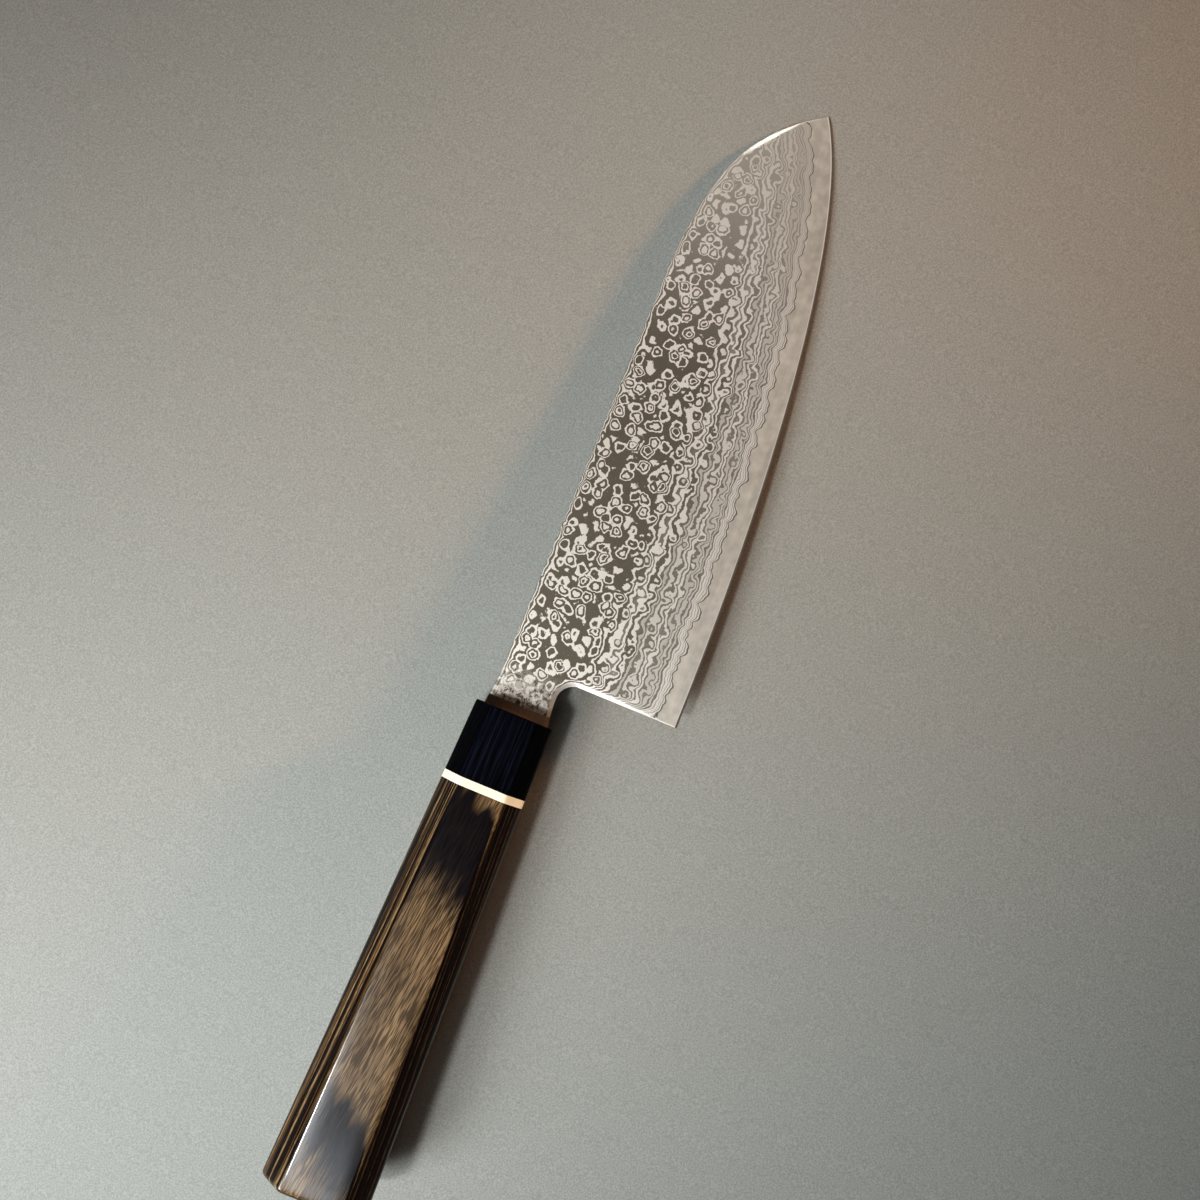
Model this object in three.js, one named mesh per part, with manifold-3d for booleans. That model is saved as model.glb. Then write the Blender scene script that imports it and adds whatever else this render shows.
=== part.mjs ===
// A santoku kitchen knife: a three-layer blade on a stick tang, glued into an eight-sided two-part handle.
// Millimetres. +X runs along the handle's axis to the tip, +Y to the spine, +Z out of the right-hand face,
// so the knife lies on its left side. The sizes below count from the middle of the ferrule's front face.
import * as THREE from "three";
import { mergeVertices } from "three/addons/utils/BufferGeometryUtils.js";
import Module from "manifold-3d";

const wasm = await Module();
wasm.setup();

// Blade outline
const BLADE_LENGTH = 168.7; // heel line to tip, along the handle's axis
const NECK_LENGTH = 12.4; // ferrule face to heel line
const EDGE_DROP = 39.6; // handle's axis down to the cutting edge at the heel
const TIP_DROP = 16.4; // handle's axis down to the tip
const EDGE_LEVEL_PULL = 57.5; // how far the level start at the heel carries into the belly
const EDGE_CLIMB_PULL = 35.2; // how far the climb at the tip reaches back into the belly
const EDGE_CLIMB_ANGLE = 31.3; // degrees, at the tip
const SPINE_RISE_NECK = 7.45; // handle's axis up to the spine at the neck
const SPINE_RISE_FRONT = 8.15; // and where the spine starts to fall
const SPINE_FALL_LENGTH = 57.5; // the stretch of spine that falls to the tip
const SPINE_LEVEL_PULL = 38.7; // how far the level spine carries into that fall
const SPINE_FALL_PULL = 15.8; // how far the steep end at the tip reaches back into it
const SPINE_FALL_ANGLE = 56.5; // degrees, at the tip
const NECK_DROP = 8.2; // handle's axis down to the underside of the neck
const NECK_FLARE = 0.9; // how much each side of the neck widens at the ferrule
const CHOIL_RADIUS = 4.5; // round inner corner between neck and heel

// Blade section
const SPINE_THICKNESS = 2.0; // of the flats at the neck
const TIP_THICKNESS = 1.2; // of the flats, carried out to the tip
const CORE_THICKNESS = 0.7; // hard middle layer
const GRIND_HEIGHT_HEEL = 19.5; // edge up to the top of the grind
const GRIND_HEIGHT_TIP = 12.0;
const GRIND_CONVEXITY = 0.15; // 0 is a flat grind
const SHARPENED_HEIGHT = 0.6; // the small final bevel at the edge
const SHARPENED_THICKNESS = 0.2; // blade thickness at the top of that bevel

// Tang
const TANG_LENGTH = 78.0;
const TANG_ROOT_WIDTH = 8.4;
const TANG_END_WIDTH = 5.0;

// Handle
const FERRULE_LENGTH = 19.0;
const SPACER_LENGTH = 2.1;
const BODY_LENGTH = 103.4;
const FRONT_WIDTH = 20.6; // along Y, at the ferrule's face
const FRONT_HEIGHT = 17.1; // along Z
const FRONT_CHAMFER = 4.5; // each way, on the four slanted sides
const BUTT_WIDTH = 27.0;
const BUTT_HEIGHT = 22.5;
const BUTT_CHAMFER = 5.5;
const ARRIS_EASE = 0.35; // the eight long edges are just broken
const FERRULE_EASE = 0.4; // front rim of the ferrule
const BUTT_ROUND = 1.6; // rim of the butt

// Hidden joint between tang and handle
const DOWEL_DIAMETER = 13.0;
const DOWEL_INSET = 4.0; // dowel's front end behind the ferrule's face
const DOWEL_PAST_TANG = 9.0; // dowel's length behind the tang's end
const SLOT_CLEARANCE = 0.8; // slot beyond the tang on every side, filled by the resin
const GLUE_LINE = 0.1; // gap between glued faces

// Fineness of the facets, and how far a cutting shape reaches past what it cuts
const EDGE_STEPS = 36;
const GRIND_STEPS = 6;
const OUTLINE_STEPS = 14;
const RIM_STEPS = 4;
const BORE_SIDES = 40;
const OVERCUT = 5.0;

// Places that follow from the sizes
const heel = new THREE.Vector2(NECK_LENGTH, -EDGE_DROP);
const tip = new THREE.Vector2(NECK_LENGTH + BLADE_LENGTH, -TIP_DROP);
const spineFront = new THREE.Vector2(tip.x - SPINE_FALL_LENGTH, SPINE_RISE_FRONT);
const spacerX = -FERRULE_LENGTH;
const bodyX = spacerX - SPACER_LENGTH;
const buttX = bodyX - BODY_LENGTH;
const rimX = buttX + BUTT_ROUND;
const dowelEndX = -TANG_LENGTH - DOWEL_PAST_TANG;
const slotEndX = -TANG_LENGTH - SLOT_CLEARANCE;
const slotWidth = TANG_ROOT_WIDTH + 2 * SLOT_CLEARANCE;
const slotHeight = SPINE_THICKNESS + 2 * SLOT_CLEARANCE;
const boreDiameter = DOWEL_DIAMETER + 2 * GLUE_LINE;
const lerp = THREE.MathUtils.lerp;

function heading(degrees) {
  const angle = THREE.MathUtils.degToRad(degrees);
  return new THREE.Vector2(Math.cos(angle), Math.sin(angle));
}

// Skins a row of rings that all have the same number of points, and closes both ends.
function loft(rings) {
  const count = rings[0].length;
  const last = (rings.length - 1) * count;
  const index = [];
  for (let ring = 0; ring < last; ring += count) {
    const next = ring + count;
    for (let i = 0; i < count; i++) {
      const j = (i + 1) % count;
      index.push(ring + i, ring + j, next + j, ring + i, next + j, next + i);
    }
  }
  for (let i = 1; i + 1 < count; i++) {
    index.push(0, i + 1, i, last, last + i, last + i + 1);
  }
  const geometry = new THREE.BufferGeometry().setFromPoints(rings.flat());
  geometry.setIndex(index);
  return geometry;
}

// A closed geometry as a solid that can be joined and cut.
function solid(geometry) {
  const bare = geometry.clone();
  bare.deleteAttribute("normal");
  bare.deleteAttribute("uv");
  const merged = mergeVertices(bare);
  const mesh = new wasm.Mesh({
    numProp: 3,
    vertProperties: new Float32Array(merged.attributes.position.array),
    triVerts: new Uint32Array(merged.index.array),
  });
  return new wasm.Manifold(mesh);
}

// A flat outline as a plate of the given thickness, with the blade's middle plane at its middle.
function plate(outline, thickness) {
  const settings = { depth: thickness, bevelEnabled: false, curveSegments: OUTLINE_STEPS };
  const geometry = new THREE.ExtrudeGeometry(outline, settings);
  return solid(geometry.translate(0, 0, -thickness / 2));
}

// A block along the handle's axis.
function block(fromX, toX, width, height) {
  const geometry = new THREE.BoxGeometry(toX - fromX, width, height);
  return solid(geometry.translate((fromX + toX) / 2, 0, 0));
}

// A round bar along the handle's axis.
function bar(fromX, toX, diameter) {
  const radius = diameter / 2;
  const geometry = new THREE.CylinderGeometry(radius, radius, toX - fromX, BORE_SIDES);
  geometry.rotateZ(-Math.PI / 2);
  return solid(geometry.translate((fromX + toX) / 2, 0, 0));
}

// The cutting edge runs level at the heel, through a long belly, and climbs to the tip.
const edge = new THREE.CubicBezierCurve(
  heel,
  heel.clone().addScaledVector(heading(0), EDGE_LEVEL_PULL),
  tip.clone().addScaledVector(heading(EDGE_CLIMB_ANGLE), -EDGE_CLIMB_PULL),
  tip,
);

// The blank seen from the side, without its tang. Below the edge it is oversize, for the grind to cut.
function blankOutline() {
  const spineFall = heading(-SPINE_FALL_ANGLE);
  const pastTip = tip.clone().addScaledVector(spineFall, OVERCUT);
  const steepEnd = tip.clone().addScaledVector(spineFall, -SPINE_FALL_PULL);
  const choilX = NECK_LENGTH - CHOIL_RADIUS;
  const outline = new THREE.Shape();
  outline.moveTo(0, -NECK_DROP - NECK_FLARE);
  outline.quadraticCurveTo(choilX / 2, -NECK_DROP, choilX, -NECK_DROP);
  outline.absarc(choilX, -NECK_DROP - CHOIL_RADIUS, CHOIL_RADIUS, Math.PI / 2, 0, true);
  outline.lineTo(NECK_LENGTH, -EDGE_DROP - OVERCUT);
  outline.lineTo(pastTip.x, -EDGE_DROP - OVERCUT);
  outline.lineTo(pastTip.x, pastTip.y);
  outline.lineTo(tip.x, tip.y);
  outline.bezierCurveTo(
    steepEnd.x, steepEnd.y,
    spineFront.x + SPINE_LEVEL_PULL, spineFront.y,
    spineFront.x, spineFront.y,
  );
  outline.lineTo(NECK_LENGTH, SPINE_RISE_NECK);
  outline.quadraticCurveTo(NECK_LENGTH / 2, SPINE_RISE_NECK, 0, SPINE_RISE_NECK + NECK_FLARE);
  return outline;
}

// The tapered tang with its round end, grown on every side. Its root reaches into the neck.
function tangOutline(grow) {
  const root = TANG_ROOT_WIDTH / 2 + grow;
  const end = TANG_END_WIDTH / 2 + grow;
  const roundX = TANG_END_WIDTH / 2 - TANG_LENGTH;
  const rootX = NECK_LENGTH / 2;
  const outline = new THREE.Shape();
  outline.moveTo(rootX, root);
  outline.lineTo(0, root);
  outline.lineTo(roundX, end);
  outline.absarc(roundX, 0, end, Math.PI / 2, -Math.PI / 2, false);
  outline.lineTo(0, -root);
  outline.lineTo(rootX, -root);
  return outline;
}

// Half of the ground blade's thickness, at a height above the edge. Along is 0 at the heel and 1 at the tip.
function halfThickness(height, along) {
  const flat = lerp(SPINE_THICKNESS, TIP_THICKNESS, along) / 2;
  const sharpened = SHARPENED_THICKNESS / 2;
  if (height <= SHARPENED_HEIGHT) return (sharpened * height) / SHARPENED_HEIGHT;
  const grindHeight = lerp(GRIND_HEIGHT_HEEL, GRIND_HEIGHT_TIP, along);
  const climb = Math.min(1, (height - SHARPENED_HEIGHT) / (grindHeight - SHARPENED_HEIGHT));
  return lerp(sharpened, flat, climb * (1 + GRIND_CONVEXITY * (1 - climb)));
}

// The ground section over one point of the edge, as a ring: up the left-hand face and down the right.
function grindRing(point, slope, along) {
  const grindHeight = lerp(GRIND_HEIGHT_HEEL, GRIND_HEIGHT_TIP, along);
  const topHeight = (SPINE_RISE_FRONT + OVERCUT - point.y) * Math.cos(slope);
  const heights = [];
  for (let step = 0; step <= GRIND_STEPS; step++) {
    heights.push(lerp(SHARPENED_HEIGHT, grindHeight, step / GRIND_STEPS));
  }
  heights.push(topHeight);
  const at = (height, side) => {
    const y = point.y + height / Math.cos(slope);
    return new THREE.Vector3(point.x, y, side * halfThickness(height, along));
  };
  const left = heights.map((height) => at(height, -1));
  const right = heights.map((height) => at(height, 1));
  return [at(0, 0), ...left, ...right.reverse()];
}

// Everything that the grind leaves: level from the tang to the heel, then along the edge, and past the tip.
function grindEnvelope() {
  const climb = heading(EDGE_CLIMB_ANGLE);
  const rings = [grindRing(new THREE.Vector2(-TANG_LENGTH - OVERCUT, -EDGE_DROP), 0, 0)];
  for (let step = 0; step <= EDGE_STEPS; step++) {
    const point = edge.getPoint(step / EDGE_STEPS);
    const tangent = edge.getTangent(step / EDGE_STEPS);
    rings.push(grindRing(point, tangent.angle(), (point.x - heel.x) / BLADE_LENGTH));
  }
  rings.push(grindRing(tip.clone().addScaledVector(climb, OVERCUT), climb.angle(), 1));
  return solid(loft(rings));
}

// The part of the blade between two heights above its middle plane.
function layer(blade, fromZ, toZ) {
  const fromX = -TANG_LENGTH - OVERCUT;
  const toX = tip.x + OVERCUT;
  const slab = new THREE.BoxGeometry(toX - fromX, 2 * (EDGE_DROP + OVERCUT), toZ - fromZ);
  slab.translate((fromX + toX) / 2, 0, (fromZ + toZ) / 2);
  return blade.intersect(solid(slab));
}

// The handle's outside at one place along it, as a ring with broken corners, drawn in by an inset.
function handleRing(x, inset) {
  const share = Math.min(1, x / rimX);
  const halfWidth = lerp(FRONT_WIDTH, BUTT_WIDTH, share) / 2 - inset;
  const halfHeight = lerp(FRONT_HEIGHT, BUTT_HEIGHT, share) / 2 - inset;
  const chamfer = lerp(FRONT_CHAMFER, BUTT_CHAMFER, share) - inset * (2 - Math.SQRT2);
  const flatY = halfWidth - chamfer;
  const flatZ = halfHeight - chamfer;
  const corners = [
    [halfWidth, -flatZ],
    [halfWidth, flatZ],
    [flatY, halfHeight],
    [-flatY, halfHeight],
    [-halfWidth, flatZ],
    [-halfWidth, -flatZ],
    [-flatY, -halfHeight],
    [flatY, -halfHeight],
  ].map(([y, z]) => new THREE.Vector3(x, y, z));
  return corners.flatMap((corner, i) => {
    const neighbours = [corners.at(i - 1), corners[(i + 1) % corners.length]];
    return neighbours.map((other) => {
      const toOther = other.clone().sub(corner).setLength(ARRIS_EASE);
      return toOther.add(corner);
    });
  });
}

// The rounded rim of the butt, from its flat end forward.
function buttRings() {
  const rings = [];
  for (let step = RIM_STEPS; step >= 0; step--) {
    const turn = ((Math.PI / 2) * step) / RIM_STEPS;
    rings.push(handleRing(rimX - BUTT_ROUND * Math.sin(turn), BUTT_ROUND * (1 - Math.cos(turn))));
  }
  return rings;
}

// A named piece of the knife.
function piece(name, shape, color, roughness, metalness) {
  const mesh = shape.getMesh();
  const geometry = new THREE.BufferGeometry();
  geometry.setAttribute("position", new THREE.BufferAttribute(mesh.vertProperties, 3));
  geometry.setIndex(new THREE.BufferAttribute(mesh.triVerts, 1));
  geometry.computeVertexNormals();
  const material = new THREE.MeshStandardMaterial({ color, roughness, metalness });
  const made = new THREE.Mesh(geometry, material);
  made.name = name;
  return made;
}

// The blade: a blank with its tang, ground on both faces and parted at the two faces of its core.
const stockThickness = SPINE_THICKNESS + 2 * OVERCUT;
const blank = plate(blankOutline(), stockThickness).add(plate(tangOutline(0), stockThickness));
const blade = blank.intersect(grindEnvelope());
const coreFace = CORE_THICKNESS / 2;
const stockFace = stockThickness / 2;
const core = layer(blade, -coreFace, coreFace);
const rightCladding = layer(blade, coreFace, stockFace);
const leftCladding = layer(blade, -stockFace, -coreFace);

// The handle: ferrule, ring and body share one tapered outside and one bore.
const dowelBore = bar(dowelEndX - GLUE_LINE, -DOWEL_INSET + GLUE_LINE, boreDiameter);
const tangSlot = block(slotEndX, OVERCUT, slotWidth, slotHeight);
const ferruleSkin = loft([
  handleRing(spacerX, 0),
  handleRing(-FERRULE_EASE, 0),
  handleRing(0, FERRULE_EASE),
]);
const ferrule = solid(ferruleSkin).subtract(dowelBore).subtract(tangSlot);
const spacer = solid(loft([handleRing(bodyX, 0), handleRing(spacerX, 0)])).subtract(dowelBore);
const body = solid(loft([...buttRings(), handleRing(bodyX, 0)])).subtract(dowelBore);

// Inside: the dowel in the bore, and the resin that fills its slot round the tang.
const dowel = bar(dowelEndX, -DOWEL_INSET, DOWEL_DIAMETER).subtract(tangSlot);
const resinFill = block(
  slotEndX + GLUE_LINE,
  -GLUE_LINE,
  slotWidth - 2 * GLUE_LINE,
  slotHeight - 2 * GLUE_LINE,
);
const resin = resinFill.subtract(plate(tangOutline(GLUE_LINE), SPINE_THICKNESS + 2 * GLUE_LINE));

const knife = new THREE.Group();
knife.add(
  piece("blade_core", core, 0xb9b3a8, 0.35, 1.0),
  piece("cladding_right", rightCladding, 0x9a9184, 0.42, 1.0),
  piece("cladding_left", leftCladding, 0x9a9184, 0.42, 1.0),
  piece("ferrule", ferrule, 0x15161b, 0.45, 0.0),
  piece("spacer_ring", spacer, 0xf3ead2, 0.5, 0.0),
  piece("handle_body", body, 0x4a3524, 0.5, 0.0),
  piece("dowel", dowel, 0xc9a574, 0.7, 0.0),
  piece("tang_resin", resin, 0xd8cfa8, 0.3, 0.0),
);

// The origin is under the middle of the knife, at the height of its lowest point.
const reach = new THREE.Box3().setFromObject(knife);
const middle = reach.getCenter(new THREE.Vector3());
knife.position.set(-middle.x, -middle.y, -reach.min.z);

export default knife;
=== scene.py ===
# %% [markdown]
# # Dressing a santoku knife
# The packed knife is loaded as a fixed frame, in metres. Its solids already have the right sizes and
# places, so this lesson gives them finer skins and real finishes: a blade of forged layers with a hard
# core showing along the edge, and an eight-sided handle of stained veneers with an ivory ring and a black
# ferrule.

# %% Load the frame
import math

import bmesh
import bpy
import numpy as np
from mathutils import Matrix, Vector


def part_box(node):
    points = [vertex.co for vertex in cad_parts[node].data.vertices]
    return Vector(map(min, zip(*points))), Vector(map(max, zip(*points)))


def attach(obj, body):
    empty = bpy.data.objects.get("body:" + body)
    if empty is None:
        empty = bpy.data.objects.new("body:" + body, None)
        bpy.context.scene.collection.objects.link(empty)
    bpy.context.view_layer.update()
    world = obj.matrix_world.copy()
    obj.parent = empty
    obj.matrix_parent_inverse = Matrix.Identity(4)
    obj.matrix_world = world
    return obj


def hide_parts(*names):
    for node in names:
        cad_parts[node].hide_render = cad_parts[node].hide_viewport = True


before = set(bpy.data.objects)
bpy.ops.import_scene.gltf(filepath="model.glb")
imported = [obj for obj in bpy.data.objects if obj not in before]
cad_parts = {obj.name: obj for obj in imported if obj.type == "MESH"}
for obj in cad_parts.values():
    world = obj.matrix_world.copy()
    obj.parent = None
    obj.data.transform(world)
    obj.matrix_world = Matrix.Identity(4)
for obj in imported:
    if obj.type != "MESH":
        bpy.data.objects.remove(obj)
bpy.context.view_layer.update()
print("solids:", ", ".join(sorted(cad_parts)))

# %% [markdown]
# ## Where to measure from
# A knife maker measures a blade from the place where it leaves the handle. Here too every size is in
# millimetres from the middle of the ferrule's front face: x runs to the tip, y to the spine, and z out of
# the right-hand face. The ferrule's own box tells where that point lies in the frame.

# %% Measuring point
MM = 0.001
ferrule_low, ferrule_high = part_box("ferrule")
origin = Vector((ferrule_high.x, (ferrule_low.y + ferrule_high.y) / 2, (ferrule_low.z + ferrule_high.z) / 2))


def place(x, y, z):
    """A point of the frame, in metres, from millimetres off the ferrule's face."""
    return origin + Vector((x, y, z)) * MM


def reach(node):
    """A solid's lowest and highest corner, in millimetres off the ferrule's face."""
    return [np.array(corner - origin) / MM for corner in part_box(node)]


print("ferrule's face at", tuple(round(v, 4) for v in origin), "m")

# %% [markdown]
# ## Camera
# The knife was photographed from about 31 cm above, looking nearly straight down, with the blade leaning
# to the upper right of a square picture. An eye point, a point to aim at and the heading that is up in
# the picture are all that is needed. Building the matrix from those three is easier to read than three
# turning angles.

# %% Camera
EYE = (2.3, -8.6, 308.0)
AIM = (35.4, -8.9, 0.0)
PICTURE_UP = 22.4  # degrees from the blade's length towards its spine
LENS = 36.0  # on a sensor as wide, so the view is 53 degrees across


def heading(degrees):
    """A unit vector on the blade's plane, turned from its length towards its spine."""
    return np.array([math.cos(math.radians(degrees)), math.sin(math.radians(degrees))])


def look(eye, aim, up):
    """A matrix that stands at eye, looks at aim along its own -Z, and keeps up upwards."""
    ahead = (aim - eye).normalized()
    right = ahead.cross(up).normalized()
    turn = Matrix((right, right.cross(ahead), -ahead)).transposed()
    return Matrix.Translation(eye) @ turn.to_4x4()


lens = bpy.data.cameras.new("camera")
lens.lens = LENS
lens.sensor_width = LENS
lens.clip_start = 0.01
camera = bpy.data.objects.new("camera", lens)
camera.matrix_world = look(place(*EYE), place(*AIM), Vector((*heading(PICTURE_UP), 0.0)))
bpy.context.scene.collection.objects.link(camera)
bpy.context.scene.camera = camera
print("camera", round((camera.location - place(*AIM)).length, 3), "m from the blade")

# %% [markdown]
# ## The blade's outline
# A santoku has a nearly straight spine that drops to the tip in one curve, and an edge with a long
# shallow belly. Both could be traced with many points, but a smith draws them with a few sweeps: one
# Bezier curve each, plus a small flare where the neck meets the ferrule and a round choil in front of the
# heel.

# %% Blade outline
BLADE_LENGTH = 168.7
TIP_DROP = 16.4
EDGE_PULLS = (57.5, 35.2)
EDGE_CLIMB = 31.3
SPINE_NECK = 7.45
SPINE_FRONT = 8.15
SPINE_FALL = 57.5
SPINE_PULLS = (38.7, 15.8)
SPINE_STEEP = 56.5
NECK_UNDER = -8.2
NECK_FLARE = 0.9
CHOIL_RADIUS = 4.5


def bezier(*controls, count=400):
    """Points along a Bezier curve, by mixing its control points until one row is left."""
    share = np.linspace(0.0, 1.0, count)[:, None]
    rows = [np.asarray(point, float) for point in controls]
    while len(rows) > 1:
        rows = [a + (b - a) * share for a, b in zip(rows, rows[1:])]
    return rows[0]


core_low, core_high = reach("blade_core")
tip = np.array([core_high[0], -TIP_DROP])
heel = np.array([tip[0] - BLADE_LENGTH, core_low[1]])
fall = np.array([tip[0] - SPINE_FALL, SPINE_FRONT])
choil = np.array([heel[0] - CHOIL_RADIUS, NECK_UNDER - CHOIL_RADIUS])  # middle of the choil's round
edge = bezier(heel, heel + EDGE_PULLS[0] * heading(0), tip - EDGE_PULLS[1] * heading(EDGE_CLIMB), tip)
spine = np.concatenate([
    bezier((0, SPINE_NECK + NECK_FLARE), (heel[0] / 2, SPINE_NECK), (heel[0], SPINE_NECK)),
    bezier(fall, fall + SPINE_PULLS[0] * heading(0), tip - SPINE_PULLS[1] * heading(-SPINE_STEEP), tip),
])
under = bezier((0, NECK_UNDER - NECK_FLARE), (choil[0] / 2, NECK_UNDER), (choil[0], NECK_UNDER))
print("blade from", heel.round(1), "to", tip.round(1), "mm")

# %% [markdown]
# ## A lattice over the blade
# The three layers of the blade meet along wavy lines that no plain extrusion can give. So the side view
# is covered with upright columns of nodes, closer together where the outline turns. Each column is cut
# into bands: the sharpened bevel, the bare core, the ground face and the flat. Every layer then uses the
# same nodes.

# %% Columns
TANG_LENGTH = 78.0
TANG_ROOT = 4.2  # half widths of the tang
TANG_END = 2.5
COLUMN_STEP = 0.4
RIM_STEPS = (0.05, 0.12, 0.25, 0.45, 0.7)  # columns close behind the heel's corner

quarter = np.linspace(0.0, math.pi / 2, 25)
tang_round = -TANG_LENGTH + TANG_END
columns = np.unique(np.concatenate([
    tang_round - TANG_END * np.cos(quarter[::3]),
    np.linspace(tang_round, 0.0, 26),
    np.linspace(0.0, choil[0], 21),
    choil[0] + CHOIL_RADIUS * np.sin(quarter),
    heel[0] + np.array(RIM_STEPS),
    np.arange(heel[0] + 1.0, tip[0] - 0.2, COLUMN_STEP),
    tip[:1],
]).round(6))
on_blade = columns >= heel[0] - 1e-6
in_tang = columns < 0
along = np.clip((columns - heel[0]) / BLADE_LENGTH, 0.0, 1.0)
choil_y = choil[1] + np.sqrt(np.clip(CHOIL_RADIUS**2 - (columns - choil[0])**2, 0.0, None))
under_y = np.where(columns < choil[0], np.interp(columns, *under.T), choil_y)
low_y = np.where(on_blade, np.interp(columns, *edge.T), under_y)
high_y = np.interp(columns, *spine.T)
edge_run = np.cos(np.arctan2(*np.gradient(edge, axis=0).T[::-1]))
edge_cosine = np.where(on_blade, np.interp(columns, edge[:, 0], edge_run), 1.0)
spine_cosine = np.cos(np.arctan(np.gradient(high_y, columns)))
print(len(columns), "columns")

# %% [markdown]
# ## The grind
# The blade is ground thin from both sides towards the edge, and tapers from neck to tip. Seen across,
# each side climbs from the edge in a faint curve and runs out into the flat. Spine, choil and heel are
# eased by hand, so the faces roll off over a few millimetres there. A file leaves a narrow bright band
# along the heel, and the falling spine is thinned near the tip. Because the forged layers lie flat, every
# one of these slopes cuts through them and will draw contour lines, as hills do on a map.

# %% Grind surface
SPINE_HALF = 1.0  # half thicknesses
TIP_HALF = 0.6
BEVEL_HALF = 0.1
CORE_HALF = 0.35
BEVEL_HEIGHT = 0.6
GRIND_HEIGHTS = (19.5, 12.0)  # at the heel and at the tip
GRIND_CURVE = 0.15
FADE = 0.05  # how softly the grind runs out into the flat
SPINE_EASE = (0.13, 2.0)  # share of the thickness, and over how many millimetres
HEEL_EASE = (0.22, 2.5)
ROUND = (0.25, 0.35)
HEEL_LEFT = 0.4  # share of the thickness that the file leaves at the heel's outline
FILE_SLOPE = 0.5  # how steeply the filed band climbs from there
BROW_SHARE = 0.5  # share of the thickness that is thinned away along the falling spine
BROW_SLOPE = 0.2
BROW_MIDDLE = 12.5  # how far behind the tip, and how far to both sides of there
BROW_REACH = 9.5
OVER_EDGE = 40.0  # stands for the height where no edge lies below
FAR_INSIDE = 9.0  # stands for the gap to the outline in the tang, which isn't eased


def lerp(a, b, share):
    return a + (b - a) * share


def ground(height, far):
    """Half of the thickness at a height over the edge. far is 0 at the heel and 1 at the tip."""
    flat = lerp(SPINE_HALF, TIP_HALF, far)
    climb = (height - BEVEL_HEIGHT) / (lerp(*GRIND_HEIGHTS, far) - BEVEL_HEIGHT)
    curved = lerp(BEVEL_HALF, flat, climb * (1 + GRIND_CURVE * (1 - np.minimum(climb, 1))))
    meet = np.clip(0.5 + (flat - curved) / (2 * FADE), 0.0, 1.0)
    soft = lerp(flat, curved, meet) - FADE * meet * (1 - meet)
    return np.where(height < BEVEL_HEIGHT, BEVEL_HALF * height / BEVEL_HEIGHT, soft)


def eased(gap, ease):
    """How much a hand-eased outline takes off, as a share, at a gap from it."""
    share, width = ease
    return share * np.clip(1 - gap / width, 0.0, 1.0) ** 2


def heel_gap(x, y):
    """How far a point lies from the underside of the neck, the choil and the heel's line."""
    straight = np.where(y < choil[1], x - heel[0], np.hypot(x - choil[0], y - choil[1]) - CHOIL_RADIUS)
    return np.where(x < choil[0], y - under_y[:, None], straight)


def surface(y):
    """Half of the blade's thickness, height over the edge, and what easing, file and brow took."""
    x = columns[:, None]
    height = np.where(on_blade[:, None], (y - low_y[:, None]) * edge_cosine[:, None], OVER_EDGE)
    half = ground(height, along[:, None])
    spine_gap = np.where(in_tang[:, None], FAR_INSIDE, (high_y[:, None] - y) * spine_cosine[:, None])
    rear_gap = np.where(in_tang[:, None], FAR_INSIDE, heel_gap(x, y))
    from_middle = (x - tip[0] + BROW_MIDDLE) / BROW_REACH
    deepest = BROW_SHARE * np.clip(1 - from_middle**2, 0.0, 1.0)
    brow = np.maximum(deepest - BROW_SLOPE * spine_gap / np.maximum(half, BEVEL_HALF / 2), 0.0)
    loss = eased(spine_gap, SPINE_EASE) + eased(rear_gap, HEEL_EASE) + brow
    rounding = eased(np.minimum(spine_gap, rear_gap), ROUND)
    rolled = half * (1 - loss - rounding)
    filed = half * HEEL_LEFT + FILE_SLOPE * rear_gap
    return np.minimum(rolled, filed), height, loss, rolled - filed, brow


print("half thickness 10 mm over the heel:", round(float(ground(np.array(10.0), 0.0)), 3), "mm")

# %% [markdown]
# ## Where the core comes out
# Hammering leaves the hard core's faces uneven, so the line where the grind lays it bare is wavy, with
# lobes a few millimetres long. A sum of folded sine waves gives such lobes and is the same on every run.
# The two sides of the blade get different phases. The core's face is then put exactly where the ground
# surface crosses that line.

# %% Core line
LOBES = ((9.7, 0.60), (5.3, 0.50), (17.0, 0.40), (2.3, 0.20))  # length and depth, in millimetres
SWAY = (0.5, 7.3)  # how unevenly the lobes are spaced, and over how many millimetres
PHASES = (0.6, 3.9)  # of the right and the left side

heights = np.linspace(BEVEL_HEIGHT, GRIND_HEIGHTS[1], 200)
mean_line = np.array([np.interp(CORE_HALF, ground(heights, far), heights) for far in along])


def core_line(phase):
    """Height over the edge, in every column, of the line where the core comes out."""
    wave = np.zeros(len(columns))
    for number, (length, depth) in enumerate(LOBES):
        turn = math.pi * columns / length + phase * (number + 1.7)
        turn = turn + SWAY[0] * np.sin(columns / SWAY[1] + phase + number)
        wave += depth * (4 / math.pi - 2 * np.abs(np.sin(turn)))
    return mean_line + wave * lerp(1.0, 0.5, along**2)


right_line, left_line = map(core_line, PHASES)
print("core shows", right_line[on_blade].min().round(1), "to", right_line[on_blade].max().round(1), "mm wide")

# %% [markdown]
# ## Bands of nodes
# The rows of a column are shared out between its bands. The rows of the top band bunch up at both ends,
# where the outline is rounded, and two of them hit the tang's sides exactly, so the tang can grow out of
# the same lattice.

# %% Rows
BEVEL_ROWS = 2
CORE_ROWS = 10
LOWER_ROWS = 30
TOP_ROWS = 11

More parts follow.
